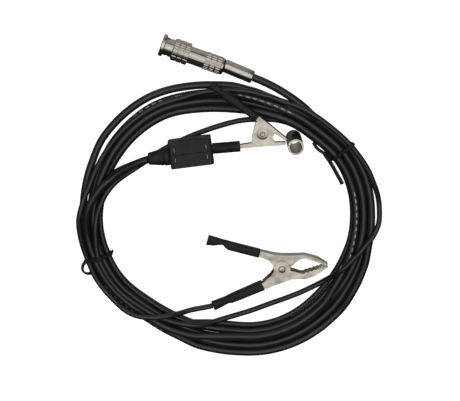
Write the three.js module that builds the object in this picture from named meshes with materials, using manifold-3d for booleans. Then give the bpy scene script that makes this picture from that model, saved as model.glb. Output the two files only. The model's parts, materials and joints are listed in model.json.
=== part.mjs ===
// Clip-on pick-up probe for an oscilloscope: BNC plug, coiled coaxial cable, divider housing,
// spring clip with a split pick-up tube, and a separate ground lead with a crocodile clip.
// Millimetres, +Z up. Everything is laid out round the centre of the cable coil, and the whole
// assembly is then moved so that the housing and the pick-up clip stand over the origin.
import * as THREE from 'three';
import { mergeVertices } from 'three/addons/utils/BufferGeometryUtils.js';
import Module from 'manifold-3d';

const wasm = await Module();
wasm.setup();

// ---------- driving dimensions ----------
const COIL_CENTRE = [3.19, -64.84]; // where the coil's centre lies in the finished frame
const GAP = 0.3; // clearance between touching pieces
const COAX_R = 2.5;
const LEAD_R = 1.8;
const SHEET = 0.7; // thickness of the clips' pressed sheet

// the coil: values every 30 degrees, counter-clockwise from +X
const COIL_INNER = [78.8, 77.0, 73.3, 70.3, 77.0, 80.0, 81.9, 79.0, 73.4, 72.4, 77.6, 78.4];
const COIL_WIDTH = [18.0, 16.4, 13.4, 20.6, 20.4, 19.2, 17.6, 17.6, 17.4, 23.6, 23.8, 19.8];
const COIL_HEIGHT = [9.6, 9.6, 8.0, 7.9, 8.0, 10.6, 12.4, 12.4, 11.6, 10.4, 9.8, 12.6];

// the plug: distances along its axis from the front face, and radii
const PLUG_FRONT = [-43.0, 114.6, 7.3];
const PLUG_TURN = -19.8; // degrees
const PLUG_LENGTH = 61.0;
const GRIP_START = 7.7;
const GRIP_END = 17.7;
const BARREL_END = 28.8;
const NUT_END = 41.6;
const TAIL_BEND = 3; // degrees

// the divider housing
const HOUSING_CENTRE = [-24.9, 47.2, 14.7];
const HOUSING_TURN = 7.4;
const HOUSING_SIZE = [27.4, 17.5, 12.0];
const HOUSING_WALL = 1.5;
const LATCH_X = 10.2;
const LATCH_Y = 3.25;
const BOOT_LENGTH = 13.4;
const COLLAR_LENGTH = 3.2;
const COAX_EXIT_Z = 1.4; // above the housing's centre
const LEAD_EXIT_Z = -3.1;
const CLIP_OFFSET = 0.7; // the clip's arm lies a little behind the housing's centre line

// the pick-up clip: its frame has the pivot at the origin and the tube along +X
const PICKUP_PIVOT = [20.6, 59.6, 16.5];
const PICKUP_TURN = -16.2;
const PICKUP_WIDTH = 6.8; // across the upper arm's ears
const PICKUP_OPENS = 20; // degrees of the upper arm's swing
const TUBE_X = 21.3;
const TUBE_LENGTH = 33.0;
const TUBE_BORE_R = 3.9;
const TUBE_METAL_R = 4.4;
const TUBE_OUTER_R = 5.1;

// the ground clip: its frame has the pivot at the origin and the jaws along +X
const GROUND_PIVOT = [34.1, -32.4, 5.5];
const GROUND_WIDTH = 9.0; // across the lower arm's ears
const HANDLE_WIDTH = 5.2; // of both clips' handles
const SLEEVE_HEIGHT = 7.0; // of the black sleeves on them

// ---------- helpers ----------
const rad = THREE.MathUtils.degToRad;

function finish(color, roughness, metalness) {
  return new THREE.MeshStandardMaterial({ color, roughness, metalness });
}
const NICKEL = () => finish(0xc8c2b4, 0.3, 1.0);
const BLACK_PLASTIC = () => finish(0x2b2b2d, 0.5, 0.0);
const BLACK_RUBBER = () => finish(0x1b1b1d, 0.6, 0.0);
const BRASS = () => finish(0xc9a55a, 0.3, 1.0);
const STEEL = () => finish(0x8e8e90, 0.35, 1.0);

function cleaned(geometry) {
  geometry.deleteAttribute('normal');
  geometry.deleteAttribute('uv');
  return mergeVertices(geometry, 1e-4);
}

// Turns the faces round if a closed geometry came out inside out.
function outward(geometry) {
  const p = geometry.getAttribute('position');
  const index = geometry.index.array;
  const [a, b, c] = [new THREE.Vector3(), new THREE.Vector3(), new THREE.Vector3()];
  let volume = 0;
  for (let i = 0; i < index.length; i += 3) {
    a.fromBufferAttribute(p, index[i]);
    b.fromBufferAttribute(p, index[i + 1]);
    c.fromBufferAttribute(p, index[i + 2]);
    volume += a.dot(b.cross(c));
  }
  if (volume < 0) {
    for (let i = 0; i < index.length; i += 3) {
      [index[i], index[i + 1]] = [index[i + 1], index[i]];
    }
  }
  return geometry;
}

function solid(geometry) {
  const g = outward(cleaned(geometry));
  return new wasm.Manifold(new wasm.Mesh({
    numProp: 3,
    vertProperties: new Float32Array(g.getAttribute('position').array),
    triVerts: new Uint32Array(g.index.array),
  }));
}

function geometryOf(body) {
  const mesh = body.getMesh();
  const g = new THREE.BufferGeometry();
  g.setAttribute('position', new THREE.BufferAttribute(new Float32Array(mesh.vertProperties), 3));
  g.setIndex(new THREE.BufferAttribute(new Uint32Array(mesh.triVerts), 1));
  return g;
}

// A piece is a named mesh made from a manifold solid.
function piece(parent, name, body, material) {
  const geometry = geometryOf(body);
  geometry.computeVertexNormals();
  const mesh = new THREE.Mesh(geometry, material);
  mesh.name = name;
  parent.add(mesh);
  return mesh;
}

function subgroup(parent, [x, y, z], degrees) {
  const group = new THREE.Group();
  group.position.set(x, y, z);
  group.rotation.z = rad(degrees);
  parent.add(group);
  return group;
}

// A flat outline in X and Y, extruded about z = 0.
function plate(points, height, holes = []) {
  const shape = new THREE.Shape(points.map(([x, y]) => new THREE.Vector2(x, y)));
  for (const hole of holes) {
    shape.holes.push(new THREE.Path(hole.map(([x, y]) => new THREE.Vector2(x, y))));
  }
  const g = new THREE.ExtrudeGeometry(shape, { depth: height, bevelEnabled: false });
  g.translate(0, 0, -height / 2);
  return solid(g);
}

function box(x, y, z, [cx, cy, cz] = [0, 0, 0]) {
  return solid(new THREE.BoxGeometry(x, y, z).translate(cx, cy, cz));
}

// A turned solid about the X axis. The profile is a closed list of [x, radius].
function turned(profile, segments = 28) {
  const points = [...profile, profile[0]].map(([x, r]) => new THREE.Vector2(r, x));
  return solid(new THREE.LatheGeometry(points, segments).rotateZ(-Math.PI / 2));
}

function ring(x0, x1, inner, outer, segments = 28) {
  return turned([[x0, inner], [x0, outer], [x1, outer], [x1, inner]], segments);
}

function rod(x0, x1, radius, segments = 20) {
  const g = new THREE.CylinderGeometry(radius, radius, x1 - x0, segments);
  return solid(g.rotateZ(-Math.PI / 2).translate((x0 + x1) / 2, 0, 0));
}

function upright(radius, height, segments = 28) {
  return solid(new THREE.CylinderGeometry(radius, radius, height, segments).rotateX(Math.PI / 2));
}

function circle(cx, cy, radius, from, to, steps) {
  const points = [];
  for (let i = 0; i <= steps; i++) {
    const a = rad(from + ((to - from) * i) / steps);
    points.push([cx + radius * Math.cos(a), cy + radius * Math.sin(a)]);
  }
  return points;
}

// A round tube along a smooth curve through the points.
function tube(points, radius, steps, sides = 8) {
  const path = new THREE.CatmullRomCurve3(points.map((p) => new THREE.Vector3(...p)));
  const section = new THREE.Shape(
    circle(0, 0, radius, 0, 360 - 360 / sides, sides - 1).map(([x, y]) => new THREE.Vector2(x, y)));
  return solid(new THREE.ExtrudeGeometry(section, { steps, extrudePath: path, bevelEnabled: false }));
}

// Moves an open outline sideways, to its left for a positive distance.
function beside(points, distance) {
  return points.map(([x, y], i) => {
    const [x0, y0] = points[Math.max(i - 1, 0)];
    const [x1, y1] = points[Math.min(i + 1, points.length - 1)];
    const length = Math.hypot(x1 - x0, y1 - y0);
    return [x - ((y1 - y0) / length) * distance, y + ((x1 - x0) / length) * distance];
  });
}

// A pressed channel: its web follows the outer outline, its two side walls reach the inner
// outline. Side is -1 if the hollow lies to the right of the outer outline, +1 if to its left.
function channel(outer, inner, width, side) {
  const walls = plate([...outer, ...[...inner].reverse()], width);
  const web = beside(outer, side * SHEET);
  const [x0, y0] = web[0];
  const [x1, y1] = web[web.length - 1];
  const far = side * 60;
  const past = 3; // how far the hollow runs on beyond both ends
  const hollow = plate([[x0 - past, y0], ...web, [x1 + past, y1], [x1 + past, far], [x0 - past, far]],
    width - 2 * SHEET);
  return walls.subtract(hollow);
}

// ---------- the coil ----------
// Smooth periodic interpolation of values given at equal steps round the coil.
function around(values, angle) {
  const n = values.length;
  const t = (((angle / (2 * Math.PI)) % 1) + 1) % 1 * n;
  const i = Math.floor(t);
  const f = t - i;
  const at = (k) => values[(i + k + n) % n];
  const [a, b, c, d] = [at(-1), at(0), at(1), at(2)];
  return b + 0.5 * f * (c - a + f * (2 * a - 5 * b + 4 * c - d + f * (3 * (b - c) + d - a)));
}

// The outer shape of the wound cable, grown by a clearance on every side but the floor.
function coilBody(clearance) {
  const section = [[0.04, 0], [0.96, 0], [1, 0.12], [1, 0.7], [0.84, 1], [0.16, 1], [0, 0.7], [0, 0.12]];
  const closed = [...section, section[0]].map(([u, v]) => new THREE.Vector2(10 + u, v));
  const g = new THREE.LatheGeometry(closed, 96).rotateX(Math.PI / 2);
  const p = g.getAttribute('position');
  for (let i = 0; i < p.count; i++) {
    const angle = Math.atan2(p.getY(i), p.getX(i));
    const u = Math.hypot(p.getX(i), p.getY(i)) - 10;
    const inner = around(COIL_INNER, angle) - clearance;
    const r = inner + u * (around(COIL_WIDTH, angle) + 2 * clearance);
    const z = p.getZ(i) * (around(COIL_HEIGHT, angle) + clearance);
    p.setXYZ(i, r * Math.cos(angle), r * Math.sin(angle), z);
  }
  return solid(g);
}

// The room that the pick-up's upper half tube sweeps as its arm opens.
function tubeSweep() {
  const steps = 8;
  let room = null;
  for (let i = 0; i <= steps; i++) {
    const a = rad(PICKUP_TURN + (PICKUP_OPENS * i) / steps);
    const at = [PICKUP_PIVOT[0] + TUBE_X * Math.cos(a), PICKUP_PIVOT[1] + TUBE_X * Math.sin(a), PICKUP_PIVOT[2]];
    const post = upright(TUBE_OUTER_R + 2 * GAP, TUBE_LENGTH + 2).translate(at);
    room = room ? room.add(post) : post;
  }
  return room;
}

function buildCords(parent) {
  piece(parent, 'coax_coil', coilBody(0).subtract(tubeSweep()), BLACK_RUBBER());
  const keepOut = coilBody(GAP).add(
    coilBody(GAP).translate([0, 0, -1])); // the clearance also holds just under the coil's foot
  const cord = (name, points, radius, steps) =>
    piece(parent, name, tube(points, radius, steps).subtract(keepOut), BLACK_RUBBER());

  // free stretches, by hand: each runs on into the coil and is trimmed at its wall
  cord('coax_plug_tail', [
    [14.7, 93.8, 7.3], [27.0, 88.3, 7.0], [38.0, 81.9, 6.6], [48.0, 74.5, 6.4], [56.0, 67.0, 6.4],
  ], COAX_R, 12);
  cord('coax_probe_tail', [
    [-53.0, 43.5, 16.1], [-58.5, 41.4, 15.0], [-66.0, 37.2, 12.6], [-74.0, 31.0, 10.0], [-80.0, 24.5, 8.6],
  ], COAX_R, 9);
  cord('ground_lead_start', [
    [-53.0, 43.5, 11.2], [-58.5, 41.4, 9.8], [-66.0, 37.2, 6.8], [-74.0, 31.0, 3.6], [-80.0, 24.5, 2.4],
  ], LEAD_R, 12);
  cord('ground_lead_under_housing', [
    [42.0, 66.0, 1.85], [33.0, 64.6, 1.85], [21.0, 65.3, 1.85], [9.0, 65.6, 1.85], [-4.0, 62.6, 1.85],
    [-17.0, 58.3, 1.85], [-30.4, 52.8, 1.85], [-44.0, 45.8, 1.85], [-57.0, 36.8, 1.85],
    [-70.0, 27.0, 1.9], [-80.0, 17.0, 2.2],
  ], LEAD_R, 22);
  cord('ground_lead_crossing', [
    [-40.0, -70.0, 6.0], [-27.0, -70.0, 5.0], [-14.0, -69.6, 2.4], [4.0, -66.4, 1.85],
    [25.0, -59.0, 1.85], [46.0, -51.0, 1.85], [60.0, -43.6, 2.6], [70.0, -36.6, 4.6], [78.0, -29.0, 6.6],
  ], LEAD_R, 20);
  cord('ground_lead_to_clip', [
    [-11.5, -58.95, 5.5], [-20.0, -61.6, 5.8], [-30.0, -63.6, 6.8], [-43.0, -65.2, 8.6], [-55.0, -65.0, 9.0],
  ], LEAD_R, 10);
}

// A wire tie's band: an arch over the bundle at an angle of the coil, set across it by a turn.
function tieBand(degrees, turn) {
  const wire = 1.1;
  const a = rad(degrees);
  const width = around(COIL_WIDTH, a) + 4 * GAP;
  const height = around(COIL_HEIGHT, a) + 2 * GAP;
  const r = around(COIL_INNER, a) + around(COIL_WIDTH, a) / 2;
  const arch = (w, h, foot) => [[-w / 2, foot], [w / 2, foot], [w / 2, h * 0.7],
    [width * 0.37, h], [-width * 0.37, h], [-w / 2, h * 0.7]];
  const outer = plate(arch(width + 2 * wire, height + wire, 0), 2.4);
  const inner = plate(arch(width, height, -1), 3.4);
  return outer.subtract(inner).rotate([90, 0, turn]).translate([r * Math.cos(a), r * Math.sin(a), 0]);
}

function buildTies(parent) {
  // the left tie's tail is bent back into a loop on the outside
  const loop = tube([[-94.9, -28.1, 6.4], [-97.6, -29.8, 6.3], [-99.0, -33.0, 5.8], [-98.2, -36.0, 5.2],
    [-96.4, -37.6, 4.8], [-93.0, -37.2, 4.4]], 0.9, 14, 6);
  piece(parent, 'twist_tie_left', tieBand(196, 197).add(loop).subtract(coilBody(GAP)), BLACK_PLASTIC());

  // the right tie's twisted ends lie free inside the coil, one long and one short
  const knot = tube([[63.6, 39.2, 4.5], [62.6, 41.2, 5.0], [61.2, 42.6, 4.4], [59.6, 43.4, 3.4]], 1.2, 8, 6);
  const long = tube([[60.0, 43.4, 3.6], [61.0, 41.4, 2.8], [63.2, 38.2, 2.2], [66.0, 34.0, 1.8],
    [69.0, 28.8, 1.5], [71.8, 23.6, 1.4]], 1.0, 12, 6);
  const short = tube([[60.4, 43.0, 3.8], [58.0, 44.4, 3.4], [55.8, 46.4, 2.8], [54.2, 48.8, 2.2]], 0.9, 8, 6);
  piece(parent, 'twist_tie_right', tieBand(32.3, 40).subtract(coilBody(GAP)).add(knot).add(long).add(short),
    BLACK_PLASTIC());
}

// ---------- the BNC plug ----------
// A row of straight ribs round a drum, for the grips.
function ribbed(x0, x1, radius, depth, ribs, bore) {
  const outline = [];
  for (let i = 0; i < ribs; i++) {
    for (const [share, r] of [[0, radius], [0.5, radius], [0.62, radius - depth], [0.88, radius - depth]]) {
      const a = ((i + share) / ribs) * 2 * Math.PI;
      outline.push([r * Math.cos(a), r * Math.sin(a)]);
    }
  }
  const drum = plate(outline, x1 - x0).rotate([0, 90, 0]).translate([(x0 + x1) / 2, 0, 0]);
  return drum.subtract(rod(x0 - 1, x1 + 1, bore, 28));
}

function couplingSleeve() {
  const shell = turned([[0, 4.95], [0, 7.2], [2.2, 7.2], [2.2, 5.9], [8.0, 5.9], [8.0, 4.95]]);
  const grip = ribbed(GRIP_START, GRIP_END, 7.0, 0.5, 20, 5.7);
  const front = ring(GRIP_START, 8.0, 4.95, 6.4);
  const lip = ring(12.8, GRIP_END, 4.95, 6.3);
  let sleeve = shell.add(grip).add(front).add(lip);
  // two bayonet ramps: an entry at the front, a slanted run and a round seat
  for (const side of [0, 180]) {
    const ramp = box(3.0, 2.2, 4.0, [0.6, 0, 6.4])
      .add(box(1.9, 3.4, 4.0, [2.9, 1.2, 6.4]).rotate([-14, 0, 0]))
      .add(box(1.9, 3.4, 4.0, [4.0, 1.2, 6.4]).rotate([-34, 0, 0]))
      .add(box(1.9, 3.4, 4.0, [5.0, 1.2, 6.4]).rotate([-54, 0, 0]));
    sleeve = sleeve.subtract(ramp.rotate([side + 25, 0, 0]));
  }
  return sleeve;
}

function buildPlug(parent) {
  const plug = subgroup(parent, PLUG_FRONT, PLUG_TURN);
  piece(plug, 'bnc_coupling_sleeve', couplingSleeve(), NICKEL());
  piece(plug, 'bnc_body', turned([[1.0, 3.5], [1.0, 4.05], [8.3, 4.05], [8.3, 5.3], [9.3, 5.3],
    [9.3, 4.55], [GRIP_END + 0.5, 4.55], [GRIP_END + 0.5, 5.5], [BARREL_END, 5.5], [BARREL_END, 3.9],
    [20.0, 3.9], [20.0, 1.4], [14.6, 1.4], [14.6, 3.5]]), NICKEL());
  piece(plug, 'bnc_insulator', ring(4.0, 14.3, 0.95, 3.2), finish(0xf2f1ec, 0.45, 0.0));
  piece(plug, 'bnc_center_pin', turned([[1.6, 0], [2.0, 0.42], [2.6, 0.62], [21.5, 0.62], [21.5, 0]], 16),
    BRASS());
  piece(plug, 'bnc_gasket', ring(7.2, 8.0, 4.35, 4.7, 24), finish(0xb9583a, 0.6, 0.0));
  piece(plug, 'bnc_wave_washer', ring(9.6, 10.3, 4.85, 5.4, 24), STEEL());
  piece(plug, 'bnc_thrust_washer', ring(11.5, 12.5, 4.85, 5.4, 24), STEEL());
  piece(plug, 'bnc_crimp_ferrule', ring(21.9, 40.0, 2.8, 3.55, 20), BRASS());
  piece(plug, 'bnc_clamp_nut', ribbed(BARREL_END + GAP, NUT_END, 5.8, 0.4, 18, 3.9), NICKEL());
  const tailStart = NUT_END + 2 * GAP - PLUG_LENGTH; // the tail is bent a little about its far end
  piece(plug, 'bnc_tail_sleeve', turned([[tailStart, 2.85], [tailStart, 4.25], [-0.5, 4.25], [0, 3.9], [0, 2.85]])
    .rotate([0, 0, -TAIL_BEND]).translate([PLUG_LENGTH, 0, 0]), NICKEL());
}

// ---------- the divider housing ----------
function shellHalf(side) {
  const [length, width, height] = HOUSING_SIZE;
  const [hx, hz] = [length / 2, height / 2];
  const cut = 1.1; // the bevel along both ends of the top and bottom
  const outline = [[-hx, -hz + cut], [-hx + cut, -hz], [hx - cut, -hz], [hx, -hz + cut],
    [hx, hz - cut], [hx - cut, hz], [-hx + cut, hz], [-hx, hz - cut]];
  const depth = width / 2 - GAP / 2;
  const middle = side * (GAP / 2 + depth / 2);
  let half = plate(outline, depth).rotate([90, 0, 0]).translate([0, middle, 0]);
  const hollow = [length - 2 * HOUSING_WALL, width - 2 * HOUSING_WALL, height - 2 * HOUSING_WALL];
  half = half.subtract(box(...hollow));
  half = half.subtract(bootSection(3.1, 3.6).translate([-hx, 0, 0]));
  const clipLevel = PICKUP_PIVOT[2] - HOUSING_CENTRE[2];
  half = half.subtract(rod(hx - 4, hx + 1, 2.9).translate([0, CLIP_OFFSET, clipLevel]));
  for (const x of [-LATCH_X, LATCH_X]) {
    half = half.subtract(box(1.0, 3.4, 4.0, [x, side * LATCH_Y, hz]));
  }
  return half;
}

// An oval disc across the X axis, taller than wide, used for the boot and its hole. The tapers
// are the shares of width and height left at its low end.
function bootSection(halfWidth, halfHeight, thickness = 6, [slim, low] = [1, 1]) {
  const outline = [...circle(0, halfHeight - halfWidth, halfWidth, 0, 180, 10),
    ...circle(0, halfWidth - halfHeight, halfWidth, 180, 360, 10)];
  const apart = ([x0, y0], [x1, y1]) => Math.hypot(x1 - x0, y1 - y0) > 1e-6;
  const shape = outline.filter((point, i) => i === 0 || apart(point, outline[i - 1]));
  return plate(shape, thickness).rotate([90, 0, 90]).warp((v) => {
    const t = 0.5 + v[0] / thickness;
    v[1] *= slim + (1 - slim) * t;
    v[2] *= low + (1 - low) * t;
  });
}

function strainReliefBoot() {
  const face = -HOUSING_SIZE[0] / 2 - GAP;
  const groove = 0.5;
  const taperStart = face - COLLAR_LENGTH - groove;
  const taperLength = BOOT_LENGTH - COLLAR_LENGTH - groove;
  const collar = bootSection(5.4, 5.6, COLLAR_LENGTH).translate([face - COLLAR_LENGTH / 2, 0, 0]);
  const waist = bootSection(4.9, 5.0, 2 * groove).translate([face - COLLAR_LENGTH - groove / 2, 0, 0]);
  const body = bootSection(5.2, 5.4, taperLength, [0.66, 0.9]).translate([taperStart - taperLength / 2, 0, 0]);
  const neck = bootSection(2.8, 3.3, 3.6).translate([face + 1.7, 0, 0]);
  const flange = bootSection(3.9, 4.2, 1.2).translate([face + HOUSING_WALL + 2 * GAP + 0.6, 0, 0]);
  const drop = (COAX_EXIT_Z + LEAD_EXIT_Z) / 2 + 0.45;
  return body.add(waist).add(collar).translate([0, 0, drop]).add(neck).add(flange);
}

function buildHousing(parent) {
  const housing = subgroup(parent, HOUSING_CENTRE, HOUSING_TURN);
  const [length, width, height] = HOUSING_SIZE;
  piece(housing, 'housing_rear_shell', shellHalf(1), BLACK_PLASTIC());
  piece(housing, 'housing_front_shell', shellHalf(-1), BLACK_PLASTIC());
  piece(housing, 'housing_blank_label', box(21.0, 0.25, 8.4, [0, width / 2 + GAP / 2 + 0.13, 0]),
    finish(0x5c5c5e, 0.8, 0.0));
  let tab = 1;
  for (const x of [-LATCH_X, LATCH_X]) {
    for (const y of [LATCH_Y, -LATCH_Y]) {
      piece(housing, `latch_tab_${tab}`, box(0.4, 2.8, 1.6, [x, y, height / 2 - 1.1]),
        finish(0xb9b39a, 0.5, 0.0));
      tab += 1;
    }
  }
  piece(housing, 'strain_relief_boot', strainReliefBoot(), BLACK_RUBBER());
  piece(housing, 'circuit_board', box(16.0, 1.0, 7.6, [0.4, 0, 0]), finish(0x2f6b3c, 0.5, 0.0));
  piece(housing, 'series_capacitor', upright(2.4, 2.2, 20).rotate([90, 0, 0]).translate([3.6, 1.95, 0.6]),
    finish(0xb8742f, 0.5, 0.0));
  piece(housing, 'divider_capacitor', box(4.4, 2.6, 4.6, [-3.4, 2.15, 0]), finish(0xc9a23a, 0.5, 0.0));
  piece(housing, 'bleed_resistor', rod(-3.4, 3.4, 1.15, 16).translate([0.4, -2.0, 0.2]),
    finish(0xcdb68a, 0.6, 0.0));
  const level = PICKUP_PIVOT[2] - HOUSING_CENTRE[2];
  piece(housing, 'signal_wire', rod(8.7, length / 2 + 7.0, 0.6, 8).translate([0, CLIP_OFFSET, level]),
    finish(0xa83a2c, 0.5, 0.0));
  piece(housing, 'coax_core_wire', rod(-9.3, -7.9, 0.6, 8).translate([0, 0, COAX_EXIT_Z]), BRASS());
}

// ---------- clips ----------
const rivet = (halfSpan, shank, head) => upright(shank, 2 * (halfSpan + 0.8), 20)
  .add(upright(head, 0.7, 24).translate([0, 0, halfSpan + GAP + 0.35]))
  .add(upright(head, 0.7, 24).translate([0, 0, -halfSpan - GAP - 0.35]));

const WIRE_R = 0.35;

// A torsion spring's turns round the pivot, with a leg from their foot to the fixed arm.
function springTurns(turns, radius, halfHeight, foot) {
  const points = [];
  const steps = Math.round(turns * 10);
  for (let i = 0; i <= steps; i++) {
    const a = rad(110) - (i / steps) * turns * 2 * Math.PI;
    points.push([radius * Math.cos(a), radius * Math.sin(a), halfHeight - (2 * halfHeight * i) / steps]);
  }
  points.push([foot[0] / 2, (foot[1] - radius) / 2, -halfHeight * 0.8]);
  points.push([...foot, -halfHeight / 2]);
  return tube(points, WIRE_R, 2 * steps, 6);
}

// The spring's other leg moves with the lever, so it is a piece of its own.
function springLeg(radius, height, end) {
  return tube([[-0.8, radius + 0.5, height], [end[0] / 2, (end[1] + radius) / 2 + 0.3, height],
    [...end, height / 2]], WIRE_R, 8, 6);
}

// A black sleeve pushed over a handle: a plan outline, pinched thin at its free end, and hollow
// where the handle goes in. Its own axis is X, from the free end at 0.
function handleSleeve(length, endWidth, bodyWidth, neckX, pocketDepth, pocketWidth) {
  const [e, b] = [endWidth / 2, bodyWidth / 2];
  const neck = b * 0.78;
  const plan = plate([[0, -e], [neckX, -neck], [neckX + 1.2, -b], [length, -b], [length, b],
    [neckX + 1.2, b], [neckX, neck], [0, e]], SLEEVE_HEIGHT);
  const h = SLEEVE_HEIGHT / 2;
  const side = plate([[0, -1.5], [neckX, -h * 0.82], [neckX + 1.2, -h], [length, -h], [length, h],
    [neckX + 1.2, h], [neckX, h * 0.82], [0, 1.5]], endWidth + 2).rotate([90, 0, 0]);
  const pocket = box(pocketDepth + 1, pocketWidth, HANDLE_WIDTH + 2 * GAP,
    [length - pocketDepth / 2 + 0.5, 0, 0]);
  return plan.intersect(side).subtract(pocket);
}

function placed(body, [x, y], degrees) {
  return body.rotate([0, 0, degrees]).translate([x, y, 0]);
}

// Half of the split tube: a shell between two radii, above or below the clip's centre line.
function halfTube(inner, outer, length, side) {
  const shell = upright(outer, length, 32).subtract(upright(inner, length + 1, 32));
  const half = box(4 * outer, 2 * outer, length + 1, [0, side * (outer + GAP / 2), 0]);
  return shell.intersect(half);
}

function electrode(side) {
  const rims = halfTube(TUBE_BORE_R, TUBE_OUTER_R, 0.9, side);
  return halfTube(TUBE_BORE_R, TUBE_METAL_R, TUBE_LENGTH, side)
    .add(rims.translate([0, 0, TUBE_LENGTH / 2 - 0.45]))
    .add(rims.translate([0, 0, -TUBE_LENGTH / 2 + 0.45]));
}

function buildPickupClip(parent) {
  const clip = subgroup(parent, PICKUP_PIVOT, PICKUP_TURN);
  const inside = PICKUP_WIDTH - 2 * (SHEET + GAP);
  const hole = upright(1.85, 20, 20);

  const upperWeb = [[-3.9, 9.65], [5, 5.85], [16, 1.2]];
  const upperEdge = [[-6.3, 5.7], ...circle(0.6, 3.0, 6.7, 170, 355, 16), [12.4, 0.9], [15.9, -0.3]];
  const upperHandle = channel([[-27.9, 18.1], [-12, 12.4], [-3.6, 9.5]], [[-28.9, 15.2], [-12.9, 9.5], [-4.6, 6.5]],
    HANDLE_WIDTH, -1);
  piece(clip, 'pickup_upper_arm',
    channel(upperWeb, upperEdge, PICKUP_WIDTH, -1).add(upperHandle).subtract(hole), NICKEL());

  const lowerWeb = [[-20.5, -17.0], [-10.8, -13.1], [2.1, -8.1], [16.0, -2.9]];
  const lowerEdge = [[-20.5, -14.3], [-11.2, -10.7], [-5.2, -7.8], [-5.8, -4.0], ...circle(0, 0, 6.1, 175, 10, 12),
    [7.4, -1.6], [9.0, -3.2], [15.8, -1.1]];
  piece(clip, 'pickup_lower_arm', channel(lowerWeb, lowerEdge, inside, 1).subtract(hole), NICKEL());

  piece(clip, 'pickup_pivot_rivet', rivet(PICKUP_WIDTH / 2, 1.5, 2.5), NICKEL());
  piece(clip, 'pickup_spring_turns', springTurns(1.61, 2.35, 0.7, [-9.0, -11.4]), STEEL());
  piece(clip, 'pickup_spring_leg', springLeg(2.35, 1.1, [-7.6, 9.9]), STEEL());
  piece(clip, 'pickup_upper_sleeve',
    placed(handleSleeve(36.2, 5.4, 5.4, 8.6, 25, 3.8), [-40.0, 20.8], -19.7), BLACK_RUBBER());
  for (const [name, side] of [['upper', 1], ['lower', -1]]) {
    const at = [TUBE_X, 0, 0];
    piece(clip, `pickup_${name}_electrode`, electrode(side).translate(at), finish(0x9a9686, 0.35, 1.0));
    piece(clip, `pickup_${name}_insulator`,
      halfTube(TUBE_METAL_R + GAP, TUBE_OUTER_R, TUBE_LENGTH - 2.4, side).translate(at), BLACK_RUBBER());
  }
}

// The black tube between the housing and the pick-up clip's lower arm.
function buildClipSleeve(parent) {
  const a = rad(HOUSING_TURN);
  const exit = HOUSING_SIZE[0] / 2 + GAP;
  const start = [HOUSING_CENTRE[0] + exit * Math.cos(a) - CLIP_OFFSET * Math.sin(a),
    HOUSING_CENTRE[1] + exit * Math.sin(a) + CLIP_OFFSET * Math.cos(a)];
  const end = [6.5, 51.2];
  const length = Math.hypot(end[0] - start[0], end[1] - start[1]);
  const group = subgroup(parent, [start[0], start[1], PICKUP_PIVOT[2]],
    THREE.MathUtils.radToDeg(Math.atan2(end[1] - start[1], end[0] - start[0])));
  const neck = rod(-HOUSING_WALL, 0.5, 2.5);
  const bore = rod(-HOUSING_WALL - 1, 9.0, 1.3, 12);
  const pocket = box(12.0, 3.6, 5.3, [length - 4.8, 0, 0]);
  piece(group, 'pickup_lower_sleeve', rod(0, length, 3.5, 24).add(neck).subtract(bore).subtract(pocket),
    BLACK_RUBBER());
}

// A row of pointed teeth between two points of a jaw's edge.
function teeth([x0, y0], [x1, y1], count, height) {
  const points = [];
  for (let i = 0; i < count; i++) {
    points.push([x0 + ((x1 - x0) * i) / count, y0 + ((y1 - y0) * i) / count]);
    points.push([x0 + ((x1 - x0) * (i + 0.5)) / count, y0 + ((y1 - y0) * (i + 0.5)) / count + height]);
  }
  points.push([x1, y1]);
  return points;
}

function buildGroundClip(parent) {
  const clip = subgroup(parent, GROUND_PIVOT, 0);
  const inside = GROUND_WIDTH - 2 * (SHEET + GAP);
  const hole = upright(1.85, 20, 20);

  const upperWeb = [[-13.4, 11.8], [-6, 9.9], [0, 9.2], [6.5, 9.2], [15.1, 9.5], [23.5, 7.2], [30.2, 2.9]];
  const upperEdge = [[-13.8, 7.7], [-8.5, 5.7], ...circle(0, 0, 5.3, 165, 370, 14), [9.5, 4.9],
    [13.0, 6.9], ...teeth([16.4, 7.2], [29.6, 2.6], 6, -0.7)];
  const upperHandle = channel([[-36, 17.7], [-17, 12.7], [-10, 10.9]], [[-36, 13.6], [-17, 8.6], [-10, 6.8]],
    HANDLE_WIDTH, -1);
  piece(clip, 'ground_upper_arm',
    channel(upperWeb, upperEdge, inside, -1).add(upperHandle).subtract(hole), NICKEL());

  const lowerWeb = [[-10.4, -13.6], [-2.3, -10.1], [6.7, -6.9], [15.9, -6.6], [21.9, -4.4], [30.2, 1.5]];
  const lowerEdge = [[-12.7, -9.6], [-7.4, -4.6], ...circle(0, 0, 5.5, 195, -10, 14), [8.4, -1.6],
    [12.0, -2.9], ...teeth([14.6, -3.0], [29.6, 1.8], 6, 0.7)];
  const lowerHandle = channel([[-33, -23.5], [-15, -15.6], [-8, -12.6]], [[-33, -18.7], [-15, -10.8], [-8, -7.8]],
    HANDLE_WIDTH, 1);
  piece(clip, 'ground_lower_arm',
    channel(lowerWeb, lowerEdge, GROUND_WIDTH, 1).add(lowerHandle).subtract(hole), NICKEL());

  piece(clip, 'ground_pivot_rivet', rivet(GROUND_WIDTH / 2, 1.5, 2.6), NICKEL());
  piece(clip, 'ground_spring_turns', springTurns(2.61, 2.5, 1.7, [-9.0, -11.2]), STEEL());
  piece(clip, 'ground_spring_leg', springLeg(2.5, 1.7, [-10.2, 9.4]), STEEL());
  piece(clip, 'ground_upper_sleeve',
    placed(handleSleeve(35.5, 7.7, 6.2, 10.2, 24, 4.9), [-49.0, 18.9], -14.8), BLACK_RUBBER());
  const sleeveTurn = 23.7;
  const lowerSleeve = handleSleeve(36.0, 7.4, 7.0, 11.4, 24, 5.6);
  piece(clip, 'ground_lower_sleeve', placed(lowerSleeve, [-45.3, -26.4], sleeveTurn), BLACK_RUBBER());
}

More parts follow.
